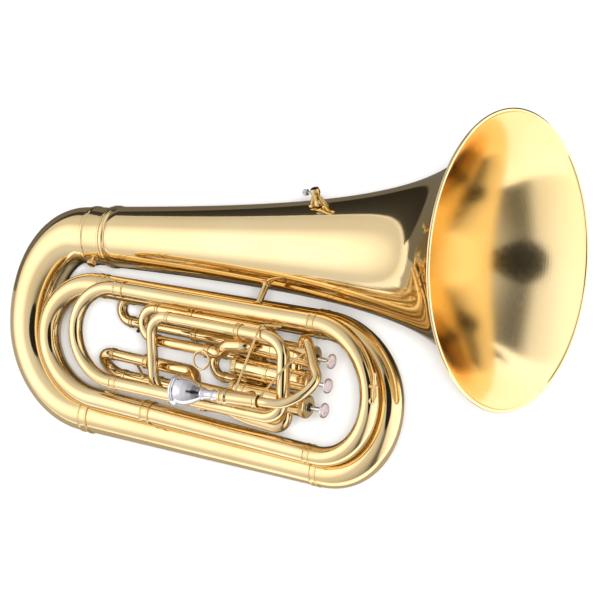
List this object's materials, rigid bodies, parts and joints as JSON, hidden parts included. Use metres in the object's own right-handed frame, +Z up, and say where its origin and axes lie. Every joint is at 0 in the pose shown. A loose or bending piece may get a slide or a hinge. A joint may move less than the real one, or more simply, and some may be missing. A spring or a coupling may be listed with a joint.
{
  "type": "marching tuba",
  "caption": "Compact tuba with coiled conical tubing, a wide flared bell on a detachable collar, pull slides, piston valves with buttons, leadpipe and mouthpiece.",
  "frame": {"origin": "on the floor under the middle of the object's bounding box, as it lies on its back", "axes": "+X runs from the bottom bow towards the bell's mouth, along the floor; +Y from the valves' side towards the bell's side; +Z up, towards the player's side"},
  "size_m": [0.9222, 0.5782, 0.4406],
  "materials": {
    "lacquered_brass": "clear-lacquered polished yellow brass",
    "silver_plate": "polished silver plate",
    "pearl": "pinkish pearl inlay, polished",
    "spring_steel": "plain spring wire"
  },
  "bodies": {
    "tuba": {"bow_collar": "lacquered_brass", "bottom_bow": "lacquered_brass", "outer_branch": "lacquered_brass", "large_top_bow": "lacquered_brass", "upper_rear_branch": "lacquered_brass", "second_bottom_bow": "lacquered_brass", "second_branch": "lacquered_brass", "small_top_bow": "lacquered_brass", "upper_front_branch": "lacquered_brass", "small_bottom_bow": "lacquered_brass", "small_branch": "lacquered_brass", "valve_exit_tube": "lacquered_brass", "first_slide_sleeve_upper": "lacquered_brass", "first_slide_sleeve_lower": "lacquered_brass", "second_slide_sleeve_upper": "lacquered_brass", "second_slide_sleeve_lower": "lacquered_brass", "third_slide_sleeve_upper": "lacquered_brass", "third_slide_sleeve_lower": "lacquered_brass", "rear_slide_sleeve_upper": "lacquered_brass", "rear_slide_sleeve_lower": "lacquered_brass", "valve_casing_1": "lacquered_brass", "top_cap_1": "lacquered_brass", "bottom_cap_1": "lacquered_brass", "valve_spring_1": "spring_steel", "valve_casing_2": "lacquered_brass", "top_cap_2": "lacquered_brass", "bottom_cap_2": "lacquered_brass", "valve_spring_2": "spring_steel", "valve_casing_3": "lacquered_brass", "top_cap_3": "lacquered_brass", "bottom_cap_3": "lacquered_brass", "valve_spring_3": "spring_steel", "knuckle_1_2": "lacquered_brass", "knuckle_2_3": "lacquered_brass", "leadpipe": "lacquered_brass", "mouthpiece_receiver": "lacquered_brass", "thumb_ring": "lacquered_brass", "brace_rod": "lacquered_brass", "stay_lower": "lacquered_brass", "stay_upper": "lacquered_brass", "bell_rest": "lacquered_brass", "water_key_nipple": "lacquered_brass", "water_key_saddle": "lacquered_brass"},
    "bell": {"bell": "lacquered_brass", "lyre_holder": "lacquered_brass"},
    "bell_lock": {"bell_lock_screw": "lacquered_brass"},
    "lyre_lock": {"lyre_screw": "lacquered_brass"},
    "main_slide": {"main_tuning_slide": "lacquered_brass"},
    "first_slide": {"first_valve_slide": "lacquered_brass"},
    "second_slide": {"second_valve_slide": "lacquered_brass"},
    "third_slide": {"third_valve_slide": "lacquered_brass"},
    "rear_slide": {"rear_tuning_slide": "lacquered_brass"},
    "valve_1": {"piston_1": "silver_plate", "finger_button_1": "pearl"},
    "valve_2": {"piston_2": "silver_plate", "finger_button_2": "pearl"},
    "valve_3": {"piston_3": "silver_plate", "finger_button_3": "pearl"},
    "mouthpiece": {"mouthpiece": "silver_plate"},
    "water_key": {"water_key_lever": "lacquered_brass"}
  },
  "joints": [
    {"name": "bell_draw", "type": "slide", "parent": "tuba", "child": "bell", "axis": [0.9816, 0, 0.1912], "range_m": [0, 0.03]},
    {"name": "bell_lock_turn", "type": "hinge", "parent": "tuba", "child": "bell_lock", "pos_m": [-0.30453, 0.02715, 0.10502], "axis": [-0.1043, -0.8382, 0.5353], "range_deg": [-180, 180]},
    {"name": "lyre_screw_turn", "type": "hinge", "parent": "bell", "child": "lyre_lock", "pos_m": [0.09141, 0.14226, 0.22198], "axis": [-0.9816, 0, -0.1912], "range_deg": [-180, 180]},
    {"name": "main_slide_draw", "type": "slide", "parent": "tuba", "child": "main_slide", "axis": [-0.9779, 0.096, -0.1859], "range_m": [0, 0.03]},
    {"name": "first_slide_draw", "type": "slide", "parent": "tuba", "child": "first_slide", "axis": [-0.9788, 0.1041, -0.1767], "range_m": [0, 0.016]},
    {"name": "second_slide_draw", "type": "slide", "parent": "tuba", "child": "second_slide", "axis": [-0.9773, 0.1208, -0.1741], "range_m": [0, 0.018]},
    {"name": "third_slide_draw", "type": "slide", "parent": "tuba", "child": "third_slide", "axis": [-0.9773, 0.1208, -0.1741], "range_m": [0, 0.035]},
    {"name": "rear_slide_draw", "type": "slide", "parent": "tuba", "child": "rear_slide", "axis": [-0.9788, 0.1041, -0.1767], "range_m": [0, 0.038]},
    {"name": "valve_1_press", "type": "slide", "parent": "tuba", "child": "valve_1", "axis": [-0.9773, 0.1208, -0.1741], "range_m": [0, 0.016], "stiffness_N_per_m": 250, "springref_m": -0.012, "deforming": ["valve_spring_1"]},
    {"name": "valve_2_press", "type": "slide", "parent": "tuba", "child": "valve_2", "axis": [-0.9773, 0.1208, -0.1741], "range_m": [0, 0.016], "stiffness_N_per_m": 250, "springref_m": -0.012, "deforming": ["valve_spring_2"]},
    {"name": "valve_3_press", "type": "slide", "parent": "tuba", "child": "valve_3", "axis": [-0.9773, 0.1208, -0.1741], "range_m": [0, 0.016], "stiffness_N_per_m": 250, "springref_m": -0.012, "deforming": ["valve_spring_3"]},
    {"name": "mouthpiece_draw", "type": "slide", "parent": "tuba", "child": "mouthpiece", "axis": [-0.985, 0.0519, -0.1643], "range_m": [0, 0.026]},
    {"name": "water_key_press", "type": "hinge", "parent": "tuba", "child": "water_key", "pos_m": [0.22628, -0.13845, 0.21978], "axis": [-0.816, -0.0941, 0.5704], "range_deg": [0, 18], "stiffness_Nm_per_rad": 0.08, "springref_deg": -28.65}
  ]
}
